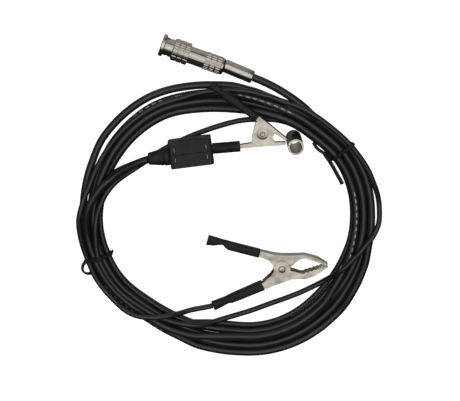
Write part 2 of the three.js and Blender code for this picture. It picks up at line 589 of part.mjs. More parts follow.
// ---------- assembly ----------
const assembly = new THREE.Group();
const layout = subgroup(assembly, [...COIL_CENTRE, 0], 0);
buildCords(layout);
buildTies(layout);
buildPlug(layout);
buildHousing(layout);
buildClipSleeve(layout);
buildPickupClip(layout);
buildGroundClip(layout);

export default assembly;
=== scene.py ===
"""Looks for the clip-on pick-up probe. Metres in the row frame; the constants below are in
millimetres and measured from the centre of the cable coil, as in the CAD source."""

import json
import math

import bmesh
import bpy
import numpy as np
from mathutils import Matrix, Vector


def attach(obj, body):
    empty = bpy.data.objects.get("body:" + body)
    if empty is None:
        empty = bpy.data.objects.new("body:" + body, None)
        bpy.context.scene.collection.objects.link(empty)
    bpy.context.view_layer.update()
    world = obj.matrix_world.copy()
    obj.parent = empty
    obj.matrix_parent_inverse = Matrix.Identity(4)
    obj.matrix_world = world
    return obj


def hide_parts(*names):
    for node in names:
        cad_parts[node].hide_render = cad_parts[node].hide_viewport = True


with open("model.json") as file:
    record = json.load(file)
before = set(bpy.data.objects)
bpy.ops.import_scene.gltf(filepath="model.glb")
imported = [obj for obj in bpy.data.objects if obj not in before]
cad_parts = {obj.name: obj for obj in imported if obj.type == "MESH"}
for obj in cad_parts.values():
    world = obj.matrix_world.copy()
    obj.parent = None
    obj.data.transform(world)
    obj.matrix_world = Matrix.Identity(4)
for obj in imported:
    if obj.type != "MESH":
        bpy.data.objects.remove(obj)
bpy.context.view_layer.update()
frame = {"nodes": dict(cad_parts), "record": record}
MM = 0.001
COIL_CENTRE = (3.19, -64.84)

# ---------- camera ----------
CAMERA_DISTANCE = 850.0
CAMERA_TILT = math.radians(13.5)
CAMERA_TARGET = (0.0, 11.74, 0.0)
camera_data = bpy.data.cameras.new("camera")
camera_data.lens = 101.56
camera_data.sensor_width = 36.0
camera = bpy.data.objects.new("camera", camera_data)
bpy.context.scene.collection.objects.link(camera)
camera.location = (
    (COIL_CENTRE[0] + CAMERA_TARGET[0]) * MM,
    (COIL_CENTRE[1] + CAMERA_TARGET[1] + CAMERA_DISTANCE * math.sin(CAMERA_TILT)) * MM,
    (CAMERA_TARGET[2] + CAMERA_DISTANCE * math.cos(CAMERA_TILT)) * MM,
)
camera.rotation_euler = (-CAMERA_TILT, 0.0, 0.0)
bpy.context.scene.camera = camera


# ---------- placing ----------
def place(origin, degrees=0.0):
    """The matrix from a group's own millimetres to the row frame in metres."""
    x, y, z = origin
    move = Matrix.Translation(((x + COIL_CENTRE[0]) * MM, (y + COIL_CENTRE[1]) * MM, z * MM))
    return move @ Matrix.Rotation(math.radians(degrees), 4, "Z") @ Matrix.Scale(MM, 4)


COIL = place((0, 0, 0))
PLUG = place((-43.0, 114.6, 7.3), -19.8)
HOUSING = place((-24.9, 47.2, 14.7), 7.4)
PICKUP = place((20.6, 59.6, 16.5), -16.2)
GROUND = place((34.1, -32.4, 5.5))


def link_mesh(name, verts, faces, matrix, smooth):
    mesh = bpy.data.meshes.new(name)
    mesh.from_pydata([tuple(v) for v in verts], [], faces)
    mesh.transform(matrix)
    obj = bpy.data.objects.new(name, mesh)
    bpy.context.scene.collection.objects.link(obj)
    face_outward(mesh)
    shade(obj, smooth)
    return obj


def grid_faces(rows, sides, looped=False):
    """Quads between rows of points that each go round; the ends are capped unless the rows loop."""
    faces = []
    for i in range(rows if looped else rows - 1):
        here, there = i * sides, (i + 1) % rows * sides
        for j in range(sides):
            k = (j + 1) % sides
            faces.append((here + j, here + k, there + k, there + j))
    if not looped:
        faces += [tuple(range(sides))[::-1], tuple((rows - 1) * sides + j for j in range(sides))]
    return faces


def face_outward(mesh):
    b = bmesh.new()
    b.from_mesh(mesh)
    bmesh.ops.recalc_face_normals(b, faces=b.faces)
    b.to_mesh(mesh)
    b.free()


def shade(obj, degrees):
    """Smooth shading that keeps edges sharper than the angle."""
    obj.data.polygons.foreach_set("use_smooth", [True] * len(obj.data.polygons))
    obj.data.set_sharp_from_angle(angle=math.radians(degrees))


def give(obj, body, paint, nodes=()):
    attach(obj, body)
    if nodes:
        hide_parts(*nodes)
    obj.data.materials.clear()
    obj.data.materials.append(paint)


# ---------- the cables' route ----------
COAX_D = 5.0
LEAD_D = 3.6
PITCH = 5.05
TOUCH = (COAX_D + LEAD_D) / 2
INNER_EDGE = [
    79.6, 79.8, 78.6, 75.0, 73.4, 71.4, 70.5, 73.0, 77.5, 80.0, 81.5, 83.0,
    83.9, 82.5, 80.0, 75.5, 73.5, 73.6, 74.2, 77.2, 78.8, 79.0, 79.0, 79.3,
]
# sideways step between neighbouring strands, by angle running clockwise from the top
STEP = [
    (95, 5.05), (90, 5.05), (81, 4.2), (72, 3.3), (62, 2.6), (50, 2.53), (0, 2.53), (-10, 2.7),
    (-20, 3.6), (-30, 4.2), (-40, 5.05), (-90, 5.05), (-102, 4.6), (-114, 3.5), (-135, 2.9),
    (-160, 2.53), (-190, 2.53), (-200, 3.0), (-215, 3.9), (-240, 4.5), (-260, 5.05), (-275, 5.05),
]
OUTER_GAP = [(95, 0), (-186, 0), (-192, 0.6), (-215, 1.8), (-242, 1.2), (-266, 0), (-275, 0)]


def eased(table, at):
    """A value read from listed points, with an eased run between neighbours."""
    rising = sorted(table)
    if at <= rising[0][0]:
        return rising[0][1]
    for (a0, v0), (a1, v1) in zip(rising, rising[1:]):
        if at <= a1:
            t = (at - a0) / (a1 - a0)
            return v0 + (v1 - v0) * t * t * (3 - 2 * t)
    return rising[-1][1]


def inner_edge(degrees):
    n = len(INNER_EDGE)
    t = (degrees % 360.0) / 360.0 * n
    i, f = int(t), t - int(t)
    a, b, c, d = (INNER_EDGE[(i + k) % n] for k in (-1, 0, 1, 2))
    return b + 0.5 * f * (c - a + f * (2 * a - 5 * b + 4 * c - d + f * (3 * (b - c) + d - a)))


def spot(degrees, x, z):
    """A point of the bundle: x is measured outwards from the innermost strand's centre."""
    a = math.radians(degrees)
    r = inner_edge(degrees) + COAX_D / 2 + x
    return (r * math.cos(a), r * math.sin(a), z)


def strand(turn, phi):
    """Where turn 0 to 4 of the coaxial cable lies at a clockwise angle from 90 to -270."""
    q = min(eased(STEP, phi), PITCH)
    lift = math.sqrt(max(PITCH**2 - q**2, 0.0))
    low = COAX_D / 2
    if phi >= -5:
        return (4 - turn) * q, low + (lift if turn % 2 == 0 else 0.0)
    if phi >= -90:
        if turn < 4:
            return PITCH - q + (3 - turn) * q, low + (lift if turn % 2 == 0 else 0.0)
        roll = math.acos(q / PITCH) + math.radians(60)
        return PITCH - q + PITCH * math.cos(roll), low + PITCH * math.sin(roll)
    if turn == 3:
        return 0.0, low
    if turn == 2:
        return q, low + lift
    if turn == 1:
        return 2 * q, low
    return 2 * q + PITCH + eased(OUTER_GAP, phi), low


def to_phi(degrees):
    """An angle as the clockwise one, from 90 down to -270."""
    phi = degrees % 360.0
    return phi if phi <= 90 else phi - 360.0


TAIL_JOINS = 54
laid = {}  # cables laid on top so far: name to [(angle, x, z), ...], rising in angle


def stack(degrees, names):
    """Every cable's section at an angle of the bundle, as (x, z, diameter)."""
    phi = to_phi(degrees)
    if phi > -90:
        turns = [k for k in range(5) if k or phi <= TAIL_JOINS]
    else:
        turns = range(4)
    found = [(*strand(k, phi), COAX_D) for k in turns]
    for name in names:
        rows = laid[name]
        if rows[0][0] <= degrees % 360 <= rows[-1][0]:
            x = np.interp(degrees % 360, [r[0] for r in rows], [r[1] for r in rows])
            z = np.interp(degrees % 360, [r[0] for r in rows], [r[2] for r in rows])
            found.append((float(x), float(z), COAX_D if name == "last_turn" else LEAD_D))
    return found


def rest_height(degrees, x, diameter, names=()):
    """The lowest height at which a cable lies on the floor and on what is there already."""
    z = diameter / 2
    for sx, sz, sd in stack(degrees, names):
        reach = (sd + diameter) / 2 + 0.03
        if abs(sx - x) < reach:
            z = max(z, sz + math.sqrt(reach**2 - (sx - x) ** 2))
    return z


def lay_over(knots, diameter, names=(), step=1.0, hold=5, soften=4):
    """Lays a cable over the bundle through (angle, x) points, in long low humps."""
    angles = np.arange(knots[0][0], knots[-1][0] + step / 2, step)
    xs = [eased(knots, a) for a in angles]
    zs = np.array([rest_height(a, x, diameter, names) for a, x in zip(angles, xs)])
    held = np.array([zs[max(i - hold, 0) : i + hold + 1].max() for i in range(len(zs))])
    zs = np.maximum(soft(held, soften), zs)
    return [(float(a), float(x), float(z)) for a, x, z in zip(angles, xs, zs)]


def soft(values, reach):
    """Values averaged with a bell of that many neighbours, ends held."""
    weights = np.exp(-0.5 * (np.arange(-3 * reach, 3 * reach + 1) / reach) ** 2)
    weights /= weights.sum()
    padded = np.pad(values, 3 * reach, mode="edge")
    return np.convolve(padded, weights, mode="valid")


def pocket(phi):
    """Where the ground lead nests inside and above the two innermost strands."""
    q = min(eased(STEP, phi), PITCH)
    lean = math.acos(q / PITCH)
    lift = PITCH * math.sin(lean)
    rise = math.sqrt(TOUCH**2 - (PITCH / 2) ** 2)
    return q / 2 - rise * math.sin(lean), COAX_D / 2 + lift / 2 + rise * math.cos(lean)


def running_length(line):
    """How far along the line each of its points is."""
    return np.concatenate([[0], np.cumsum(np.linalg.norm(np.diff(line, axis=0), axis=1))])


def even(points, step, reach=0):
    """A smooth line through the points, cut into equal steps."""
    p = np.array(points, float)
    fine = []
    for i in range(len(p) - 1):
        a, b, c, d = p[max(i - 1, 0)], p[i], p[i + 1], p[min(i + 2, len(p) - 1)]
        ab, bc, cd = (max(np.linalg.norm(v) ** 0.5, 1e-3) for v in (b - a, c - b, d - c))
        t0, t1, t2, t3 = 0.0, ab, ab + bc, ab + bc + cd
        for t in np.linspace(t1, t2, max(int(bc**2 / 0.4), 3), endpoint=False):
            if i == 0:
                a, t0 = b - (c - b), t1 - bc
            if i == len(p) - 2:
                d, t3 = c + (c - b), t2 + bc
            a1 = ((t1 - t) * a + (t - t0) * b) / (t1 - t0)
            a2 = ((t2 - t) * b + (t - t1) * c) / (t2 - t1)
            a3 = ((t3 - t) * c + (t - t2) * d) / (t3 - t2)
            b1 = ((t2 - t) * a1 + (t - t0) * a2) / (t2 - t0)
            b2 = ((t3 - t) * a2 + (t - t1) * a3) / (t3 - t1)
            fine.append(((t2 - t) * b1 + (t - t1) * b2) / (t2 - t1))
    fine.append(p[-1])
    fine = np.array(fine)
    run = running_length(fine)
    at = np.linspace(0, run[-1], max(int(run[-1] / step), 4) + 1)
    line = np.stack([np.interp(at, run, fine[:, k]) for k in range(3)], 1)
    if reach:
        kept = line.copy()
        line = np.stack([soft(line[:, k], reach) for k in range(3)], 1)
        edge = 3 * reach
        fade = np.clip(np.minimum(np.arange(len(line)), np.arange(len(line))[::-1]) / edge, 0, 1)
        line = kept + (line - kept) * fade[:, None]
    return line


def coax_route():
    """From the plug's tail, four turns and a bit clockwise, and out to the housing's boot."""
    points = [(14.7, 93.8, 7.3), (20.0, 91.7, 7.2), (29.0, 87.3, 7.0), (38.0, 81.7, 6.8), (45.5, 76.3, 6.7)]
    for turn in range(5):
        phi = TAIL_JOINS - 4 if turn == 0 else 90 - 2
        stop = -88 if turn == 4 else -270
        while phi >= stop:
            x, z = strand(turn, phi)
            points.append(spot(phi, x, z))
            phi -= 3
    # the last turn crosses over the others and leaves for the boot
    laid["ground_start"] = [(a, *pocket(a - 360)) for a in range(157, 251)]
    knots = [(158, -4.6), (164, 0.6), (170, 4.0), (176, 6.6), (184, 7.8), (192, 7.7), (204, 7.8),
             (216, 8.0), (226, 8.6), (238, 8.4), (250, 6.4), (262, 3.2), (270, 2.53)]
    laid["last_turn"] = lay_over(knots, COAX_D, ["ground_start"], hold=3, soften=3)
    points += [spot(a, x, z) for a, x, z in reversed(laid["last_turn"][2::3])]
    points += [(-72.0, 32.8, 11.6), (-65.5, 36.7, 13.2), (-58.5, 40.1, 15.1), (-52.4, 42.4, 16.1)]
    return even(points, 1.6, reach=2)


def lead_route():
    """The ground lead, anticlockwise, from the boot to the ground clip."""
    points = [(-52.4, 42.4, 11.4), (-58.5, 40.0, 9.8), (-66.0, 36.4, 7.4), (-71.5, 34.0, 6.4)]
    for a in range(160, 250, 3):
        points.append(spot(a, *pocket(a - 360)))
    for a in range(262, 421, 3):
        phi = to_phi(a)
        x, _ = strand(3, phi)
        points.append(spot(a, x - 4.28, LEAD_D / 2))
    points += [(28.0, 66.0, 1.85), (21.0, 66.0, 1.85), (9.0, 65.6, 1.85), (-4.0, 62.6, 1.85),
               (-17.0, 58.3, 1.85), (-30.4, 52.8, 1.85), (-44.0, 45.8, 1.85), (-57.0, 36.8, 2.2),
               (-66.0, 31.2, 4.2), (-73.0, 26.8, 7.2)]
    over = [(163, -4.6), (170, -2.2), (178, 0.2), (187, 2.2), (196, 4.6), (216, 4.9), (232, 4.2),
            (242, 2.0), (251, -0.8), (261, -4.4)]
    laid["second_turn"] = lay_over(over, LEAD_D, ["ground_start", "last_turn"])
    points += [spot(a, x, z) for a, x, z in laid["second_turn"][2:-4:3]]
    points += [(-8.0, -69.6, 3.6), (4.0, -66.4, 1.85), (14.0, -63.3, 1.85), (25.0, -59.0, 1.85),
               (36.0, -55.0, 1.85), (46.0, -51.0, 1.85), (57.0, -45.4, 2.2), (66.0, -39.6, 4.4)]
    across = [(333, -3.2), (341, 1.4), (349, 7.2), (355, 12.6), (360, 15.2), (367, 15.4), (378, 13.6),
              (391, 11.9), (410, 11.9), (418, 11.4), (426, 10.3), (435, 11.4), (444, 12.7),
              (452, 12.6), (460, 11.5), (475, 8.4), (500, 8.1), (515, 8.0), (525, 8.2), (532, 10.0),
              (540, 12.0), (556, 12.2), (564, 13.2), (580, 13.0), (606, -5.8)]
    third = lay_over(across, LEAD_D, ["last_turn", "second_turn"])
    points += [spot(a, x, max(z, 7.4) if a > 580 else z) for a, x, z in third[2:-4:3]]
    points += [(-26.5, -61.5, 6.2), (-19.9, -60.4, 5.8), (-15.0, -59.5, 5.6), (-11.5, -58.7, 5.5)]
    return even(points, 1.6, reach=2)


def tube(name, line, radius, matrix=COIL, sides=16, smooth=60.0):
    """A round mesh tube with its run and its facing stored for the material."""
    n = len(line)
    ahead = np.gradient(line, axis=0)
    ahead /= np.linalg.norm(ahead, axis=1)[:, None]
    normal = np.zeros_like(line)
    start = np.cross(ahead[0], (0, 0, 1.0))
    if np.linalg.norm(start) < 1e-3:
        start = np.cross(ahead[0], (0, 1.0, 0))
    normal[0] = start / np.linalg.norm(start)
    for i in range(1, n):
        v = normal[i - 1] - ahead[i] * normal[i - 1].dot(ahead[i])
        normal[i] = v / np.linalg.norm(v)
    other = np.cross(ahead, normal)
    radii = np.broadcast_to(radius, (n,))
    verts, run, facing = [], [], []
    length = running_length(line)
    for i in range(n):
        for j in range(sides):
            a = 2 * math.pi * j / sides
            verts.append(line[i] + radii[i] * (math.cos(a) * normal[i] + math.sin(a) * other[i]))
            run.append(length[i])
            facing += [math.cos(a), math.sin(a), 0.0]
    obj = link_mesh(name, verts, grid_faces(n, sides), matrix, smooth)
    obj.data.attributes.new("run", "FLOAT", "POINT").data.foreach_set("value", run)
    obj.data.attributes.new("facing", "FLOAT_VECTOR", "POINT").data.foreach_set("vector", facing)
    return obj


# ---------- materials ----------
class Paint:
    """A small helper that builds one node material."""

    def __init__(self, name, color, roughness=0.5, metallic=0.0, **sockets):
        self.material = bpy.data.materials.new(name)
        self.material.use_nodes = True
        self.tree = self.material.node_tree
        self.shader = self.tree.nodes["Principled BSDF"]
        self.shader.inputs["Base Color"].default_value = (*color, 1.0)
        self.shader.inputs["Roughness"].default_value = roughness
        self.shader.inputs["Metallic"].default_value = metallic
        for socket, value in sockets.items():
            self.shader.inputs[socket.replace("_", " ")].default_value = value
        self.color = color
        self.place = self.add("ShaderNodeTexCoord").outputs["Object"]
        self.bump = None

    def add(self, kind, **values):
        node = self.tree.nodes.new(kind)
        for key, value in values.items():
            setattr(node, key, value)
        return node

    def link(self, a, b):
        self.tree.links.new(a, b)

    def noise(self, size_mm, detail=4.0, roughness=0.55, stretch=None, source=None):
        """Noise with features of about that size."""
        node = self.add("ShaderNodeTexNoise")
        node.inputs["Scale"].default_value = 1000.0 / size_mm
        node.inputs["Detail"].default_value = detail
        node.inputs["Roughness"].default_value = roughness
        place = source or self.place
        if stretch:
            squeeze = self.add("ShaderNodeMapping")
            squeeze.inputs["Scale"].default_value = stretch
            self.link(place, squeeze.inputs["Vector"])
            place = squeeze.outputs["Vector"]
        self.link(place, node.inputs["Vector"])
        return node.outputs["Fac"]

    def spread(self, value, low, high, start=0.3, end=0.7):
        node = self.add("ShaderNodeMapRange")
        node.inputs["From Min"].default_value = start
        node.inputs["From Max"].default_value = end
        node.inputs["To Min"].default_value = low
        node.inputs["To Max"].default_value = high
        self.link(value, node.inputs["Value"])
        return node.outputs["Result"]

    def rough(self, value, low, high, start=0.3, end=0.7):
        self.link(self.spread(value, low, high, start, end), self.shader.inputs["Roughness"])
        return self

    def tint(self, value, other, start=0.35, end=0.65):
        """Mixes towards another colour where the value is high."""
        mix = self.add("ShaderNodeMix", data_type="RGBA")
        previous = self.shader.inputs["Base Color"].links
        if previous:
            self.link(previous[0].from_socket, mix.inputs["A"])
        else:
            mix.inputs["A"].default_value = (*self.color, 1.0)
        mix.inputs["B"].default_value = (*other, 1.0)
        self.link(self.spread(value, 0.0, 1.0, start, end), mix.inputs["Factor"])
        self.link(mix.outputs["Result"], self.shader.inputs["Base Color"])
        return self

    def relief(self, value, depth_mm, strength=1.0):
        """Raises the surface by up to that depth, on top of earlier relief."""
        node = self.add("ShaderNodeBump")
        node.inputs["Distance"].default_value = depth_mm * MM
        node.inputs["Strength"].default_value = strength
        self.link(value, node.inputs["Height"])
        if self.bump:
            self.link(self.bump, node.inputs["Normal"])
        self.bump = node.outputs["Normal"]
        self.link(self.bump, self.shader.inputs["Normal"])
        return self

    def math(self, operation, a, b=0.0):
        node = self.add("ShaderNodeMath", operation=operation)
        for socket, value in zip(node.inputs, (a, b)):
            if isinstance(value, (int, float)):
                socket.default_value = value
            else:
                self.link(value, socket)
        return node.outputs[0]


# stretches of the coax, in mm from the boot, where its row of dashes faces up and can be seen
DASH_RUNS = ((300.0, 352.0), (1455.0, 1495.0), (1542.0, 1604.0), (2250.0, 2300.0))
SMALL_RUN = (1508.0, 1534.0)


def cable_jacket(name, printed):
    """Black jacket with faint drawing lines along it and, on the coax, rows of pale dashes."""
    p = Paint(name, (0.011, 0.011, 0.012), 0.36, Specular_IOR_Level=0.5, Coat_Weight=0.6, Coat_Roughness=0.15)
    facing = p.add("ShaderNodeAttribute", attribute_name="facing").outputs["Vector"]
    p.rough(p.noise(9.0, 5.0), 0.28, 0.44)
    p.tint(p.noise(22.0, 3.0), (0.017, 0.017, 0.018))
    p.relief(p.noise(60.0, 2.0, source=facing, stretch=(0.4, 0.4, 0.4)), 0.03, 0.5)
    p.relief(p.noise(1.1, 4.0), 0.02, 0.5)
    if not printed:
        return p.material
    split = p.add("ShaderNodeSeparateXYZ")
    p.link(facing, split.inputs["Vector"])
    run = p.add("ShaderNodeAttribute", attribute_name="run").outputs["Fac"]

    def within(stretch):
        low, high = stretch
        return p.math("MULTIPLY", p.math("GREATER_THAN", run, low), p.math("LESS_THAN", run, high))

    def row(pitch, share):
        return p.math("LESS_THAN", p.math("FRACT", p.math("DIVIDE", run, pitch)), share)

    dashed = within(DASH_RUNS[0])
    for stretch in DASH_RUNS[1:]:
        dashed = p.math("ADD", dashed, within(stretch))
    dashes = p.math("MULTIPLY", dashed, row(4.7, 0.54))
    small = p.math("MULTIPLY", within(SMALL_RUN), row(1.25, 0.6))
    lean = p.spread(run, 0.02, 0.38, 1500.0, 1545.0)  # the cable is rolled a little further on
    off_top = p.math("ABSOLUTE", p.math("SUBTRACT", split.outputs["X"], lean))
    on_line = p.math("LESS_THAN", off_top, 0.16)
    upper = p.math("MULTIPLY", on_line, p.math("LESS_THAN", split.outputs["Y"], 0.0))
    mask = p.math("MULTIPLY", p.math("ADD", dashes, small), upper)
    worn = p.math("MULTIPLY", mask, p.spread(p.noise(2.4, 3.0), 0.5, 1.0))
    return p.tint(worn, (0.42, 0.43, 0.43), 0.0, 1.0).material


def nickel(name, color, dark, low=0.14, high=0.26, wave_mm=0.0):
    """Plated metal: a cloudy polish, fine scratches, and for bent sheet a slow waviness."""
    p = Paint(name, color, 0.25, 1.0)
    p.rough(p.noise(2.4, 6.0), low, high)
    p.tint(p.noise(6.0, 3.0), dark, 0.45, 1.0)
    if wave_mm:
        p.relief(p.noise(10.0, 1.0), wave_mm, 1.0)
    p.relief(p.noise(0.9, 3.0, stretch=(1.0, 9.0, 1.0)), 0.0006, 0.5)
    return p.material


def moulded(name, color, other, low=0.45, high=0.6, grain_mm=0.45, depth_mm=0.02):
    """Moulded plastic or vinyl with a fine grain."""
    p = Paint(name, color, 0.5, 0.0, Specular_IOR_Level=0.3)
    p.rough(p.noise(4.0, 5.0), low, high)
    p.tint(p.noise(7.0, 4.0), other)
    p.relief(p.noise(grain_mm, 3.0), depth_mm, 0.7)
    p.relief(p.noise(5.0, 2.0), 0.05, 0.4)
    return p.material


PAINTS = {
    "cable_jacket": cable_jacket("coax_jacket", True),
    "lead_jacket": cable_jacket("lead_jacket", False),
    "tie_plastic": moulded("tie_plastic", (0.012, 0.012, 0.013), (0.02, 0.02, 0.021), 0.35, 0.5, 0.6),
    "plug_nickel": nickel("plug_nickel", (0.70, 0.68, 0.62), (0.50, 0.48, 0.43), 0.10, 0.2),
    "white_insulator": moulded("white_insulator", (0.80, 0.79, 0.75), (0.72, 0.71, 0.67), 0.35, 0.5),
    "contact_brass": nickel("contact_brass", (0.80, 0.60, 0.28), (0.62, 0.44, 0.18)),
    "gasket_rubber": moulded("gasket_rubber", (0.35, 0.09, 0.05), (0.28, 0.07, 0.04), 0.5, 0.7),
    "spring_steel": nickel("spring_steel", (0.55, 0.55, 0.56), (0.36, 0.36, 0.37), 0.25, 0.42),
    "housing_plastic": moulded("housing_plastic", (0.020, 0.020, 0.024), (0.025, 0.026, 0.030), 0.42, 0.56,
                               0.4, 0.02),
    "label_area": moulded("label_area", (0.05, 0.05, 0.052), (0.11, 0.11, 0.113), 0.7, 0.9, 0.5, 0.12),
    "latch_plastic": moulded("latch_plastic", (0.42, 0.40, 0.33), (0.33, 0.31, 0.26), 0.5, 0.65),
    "boot_rubber": moulded("boot_rubber", (0.014, 0.014, 0.015), (0.024, 0.024, 0.025), 0.42, 0.56),
    "board": moulded("board", (0.03, 0.16, 0.06), (0.02, 0.11, 0.05), 0.35, 0.5),
    "capacitor_ceramic": moulded("capacitor_ceramic", (0.55, 0.22, 0.05), (0.45, 0.17, 0.04), 0.35, 0.5),
    "capacitor_film": moulded("capacitor_film", (0.60, 0.38, 0.05), (0.52, 0.32, 0.04), 0.2, 0.35),
    "resistor_body": moulded("resistor_body", (0.60, 0.46, 0.28), (0.52, 0.39, 0.23), 0.4, 0.55),
    "wire_insulation": moulded("wire_insulation", (0.45, 0.04, 0.03), (0.38, 0.03, 0.02), 0.3, 0.45),
    "sleeve_vinyl": moulded("sleeve_vinyl", (0.011, 0.011, 0.012), (0.019, 0.019, 0.020),
                            0.38, 0.52, 0.8),
    "clip_nickel": nickel("clip_nickel", (0.70, 0.66, 0.59), (0.36, 0.31, 0.25), 0.15, 0.26, 1.1),
    "electrode_metal": nickel("electrode_metal", (0.66, 0.64, 0.56), (0.42, 0.40, 0.32), 0.2, 0.34),
    "electrode_insulation": moulded("electrode_insulation", (0.012, 0.012, 0.013), (0.02, 0.02, 0.02),
                                    0.25, 0.4),
}

# every CAD node gets its slot's material; those with a detailed stand-in are hidden further on
slot_of = {row["node"]: row["material_slot"] for row in frame["record"]["subparts"]}
for node, obj in frame["nodes"].items():
    obj.data.materials.clear()
    obj.data.materials.append(PAINTS[slot_of[node]])
    shade(obj, 32)


def soften_edges(node, width_mm, segments=2):
    """Rounds a CAD piece's edges, so that they catch the light."""
    bevel = frame["nodes"][node].modifiers.new("bevel", "BEVEL")
    bevel.width = width_mm * MM
    bevel.segments = segments
    bevel.limit_method = "ANGLE"
    bevel.angle_limit = math.radians(40)
    bevel.harden_normals = True


for node in ("housing_rear_shell", "housing_front_shell"):
    soften_edges(node, 0.35, 3)
for node in frame["nodes"]:
    if node.endswith("_arm"):
        soften_edges(node, 0.12)

# ---------- cords ----------
coax_line = coax_route()
lead_line = lead_route()


coax = tube("coax_cable", coax_line[::-1], COAX_D / 2)
give(coax, "root", PAINTS["cable_jacket"], ["coax_coil", "coax_plug_tail", "coax_probe_tail"])
lead = tube("ground_lead", lead_line, LEAD_D / 2, sides=14)
give(lead, "root", PAINTS["lead_jacket"],
     ["ground_lead_start", "ground_lead_under_housing", "ground_lead_crossing", "ground_lead_to_clip"])

# ---------- ties ----------
LEFT_TIE = ((-85.65, -24.8), 197.1)  # the band's middle, and the degrees of the line it lies along
RIGHT_TIE = ((71.75, 45.45), 40.2)
HALF_BUNDLE = 13.0  # a strand further than this from the band's middle is not in the band


def sweep(line, width, thickness, twist=0.0, closed=False, outward=None, sides=12, power=3.0):
    """Points and faces of a flat strap along a line; it may twist, by so many turns per mm."""
    line = np.array(line, float)
    n = len(line)
    if closed:
        ahead = np.roll(line, -1, 0) - np.roll(line, 1, 0)
    else:
        ahead = np.gradient(line, axis=0)
    ahead /= np.linalg.norm(ahead, axis=1)[:, None]
    run = running_length(line)
    verts = []
    for i in range(n):
        up = np.array(outward[i] if outward is not None else (0, 0, 1.0))
        up = up - ahead[i] * up.dot(ahead[i])
        up /= np.linalg.norm(up)
        across = np.cross(ahead[i], up)
        a0 = 2 * math.pi * twist * run[i]
        for j in range(sides):
            a = 2 * math.pi * j / sides
            c, s = math.cos(a), math.sin(a)
            w = width / 2 * math.copysign(abs(c) ** (2 / power), c)
            h = thickness / 2 * math.copysign(abs(s) ** (2 / power), s)
            w, h = w * math.cos(a0) - h * math.sin(a0), w * math.sin(a0) + h * math.cos(a0)
            verts.append(line[i] + across * w + up * h)
    return verts, grid_faces(n, sides, closed)


def merged(parts):
    verts, faces = [], []
    for v, f in parts:
        faces += [tuple(i + len(verts) for i in face) for face in f]
        verts += list(v)
    return verts, faces


def hull(points):
    """The convex outline of flat points, anticlockwise."""
    points = sorted(set((round(x, 4), round(y, 4)) for x, y in points))

    def half(row):
        out = []
        for p in row:
            while len(out) > 1 and ((out[-1][0] - out[-2][0]) * (p[1] - out[-2][1])
                                    - (out[-1][1] - out[-2][1]) * (p[0] - out[-2][0])) <= 0:
                out.pop()
            out.append(p)
        return out[:-1]

    return half(points) + half(points[::-1])


def band(centre, turn, width=2.3, thickness=1.0):
    """A strap pulled tight round every strand that passes through its plane."""
    a = math.radians(turn)
    along, across = np.array((math.cos(a), math.sin(a))), np.array((-math.sin(a), math.cos(a)))
    dots = []
    for line, diameter in ((coax_line, COAX_D), (lead_line, LEAD_D)):
        flat = line[:, :2] - np.array(centre)
        u, t = flat @ along, flat @ across
        for i in np.nonzero(t[:-1] * t[1:] <= 0)[0]:
            f = t[i] / (t[i] - t[i + 1]) if t[i] != t[i + 1] else 0.0
            if abs(u[i]) < HALF_BUNDLE:
                x = u[i] + (u[i + 1] - u[i]) * f
                z = line[i][2] + (line[i + 1][2] - line[i][2]) * f
                r = (diameter + thickness) / 2 + 0.1
                for k in range(40):
                    b = 2 * math.pi * k / 40
                    dots.append((x + r * math.cos(b), max(z + r * math.sin(b), thickness / 2)))
    outline = np.array(hull(dots))
    closed = np.vstack([outline, outline[:1]])
    run = running_length(closed)
    at = np.linspace(0, run[-1], 97)[:-1]
    ring = np.stack([np.interp(at, run, closed[:, k]) for k in range(2)], 1)
    for _ in range(2):
        ring = (np.roll(ring, 1, 0) + 2 * ring + np.roll(ring, -1, 0)) / 4
    side = np.roll(ring, -1, 0) - np.roll(ring, 1, 0)
    out2 = np.stack([side[:, 1], -side[:, 0]], 1)
    line = [(*(np.array(centre) + along * x), z) for x, z in ring]
    outward = [np.array((*(along * o[0]), o[1])) for o in out2]
    return sweep(line, width, thickness, closed=True, outward=outward)


def build_left_tie():
    loop = even([(-93.6, -27.0, 6.6), (-95.6, -28.8, 6.8), (-97.0, -31.6, 6.4), (-96.8, -34.6, 5.8),
                 (-95.0, -36.4, 5.2), (-92.4, -36.6, 4.6), (-90.4, -35.4, 4.2)], 0.5)
    inner_end = even([(-78.4, -22.4, 6.2), (-77.2, -21.4, 6.6), (-76.9, -20.0, 6.8)], 0.4)
    parts = [band(*LEFT_TIE), sweep(loop, 2.4, 1.6, twist=0.03), sweep(inner_end, 1.8, 1.2, twist=0.1)]
    tie = link_mesh("tie_left", *merged(parts), COIL, 50)
    give(tie, "root", PAINTS["tie_plastic"], ["twist_tie_left"])


